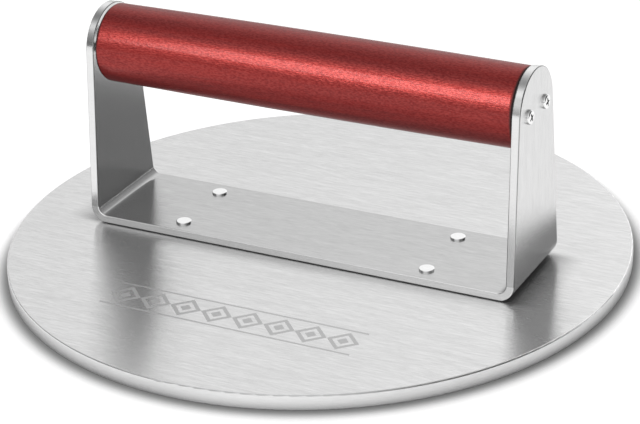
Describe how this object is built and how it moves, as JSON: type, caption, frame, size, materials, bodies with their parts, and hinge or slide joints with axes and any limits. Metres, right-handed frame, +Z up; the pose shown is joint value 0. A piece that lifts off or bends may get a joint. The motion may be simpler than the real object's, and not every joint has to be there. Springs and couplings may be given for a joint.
{
  "type": "patty press",
  "caption": "Round stainless steel press for patties and smash burgers, with a riveted bent-strip bracket holding a turned red-brown wooden grip.",
  "frame": {"origin": "centre of the plate's flat cooking face", "axes": "+Z up out of the plate towards the grip; X along the grip; the handle is symmetric about the XZ and YZ planes"},
  "size_m": [0.178, 0.178, 0.0669],
  "materials": {
    "plate_steel": "long straight brushing on the flat faces, polished rim",
    "bracket_steel": "brushed along the strip, edges polished",
    "grip_wood": "red-brown stain under a gloss varnish",
    "rivet_steel": "plain satin heads",
    "screw_steel": "bright cross-recessed pan heads"
  },
  "bodies": {
    "root": {"press_plate": "plate_steel", "handle_bracket": "bracket_steel", "wooden_grip": "grip_wood", "rivet_left_front": "rivet_steel", "rivet_left_rear": "rivet_steel", "rivet_right_front": "rivet_steel", "rivet_right_rear": "rivet_steel", "screw_left_front": "screw_steel", "screw_left_rear": "screw_steel", "screw_right_front": "screw_steel", "screw_right_rear": "screw_steel"}
  },
  "joints": []
}
